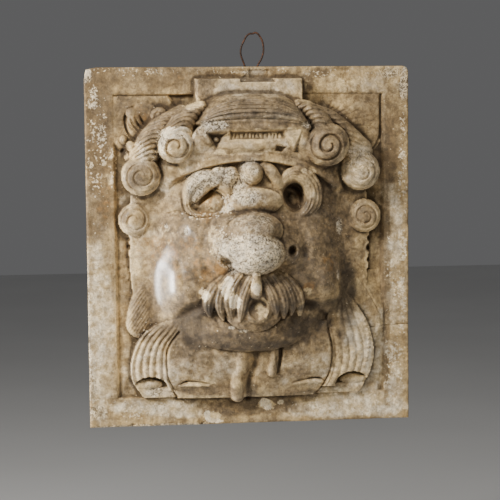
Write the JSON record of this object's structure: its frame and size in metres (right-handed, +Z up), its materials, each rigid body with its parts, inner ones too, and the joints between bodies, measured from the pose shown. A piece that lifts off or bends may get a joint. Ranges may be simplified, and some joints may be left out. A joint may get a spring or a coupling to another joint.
{
  "type": "plaster relief panel",
  "caption": "Framed plaster panel with a grotesque bearded mask in high relief under rolled hair and a banded helmet, hung by a bent wire eye.",
  "frame": {"origin": "centre of the slab's flat back face, which lies against the wall", "axes": "+Y out of the back into the wall, +Z up the panel, +X to the viewer's right; the carving faces -Y"},
  "size_m": [0.405, 0.1471, 0.4917],
  "materials": {
    "plaster": "aged bare plaster, grey-brown grime in the hollows, white where rubbed, matt with a few waxy patches",
    "rusty_wire": "dark rusted iron wire"
  },
  "bodies": {
    "root": {"relief_panel": "plaster", "hanging_wire": "rusty_wire"}
  },
  "joints": []
}
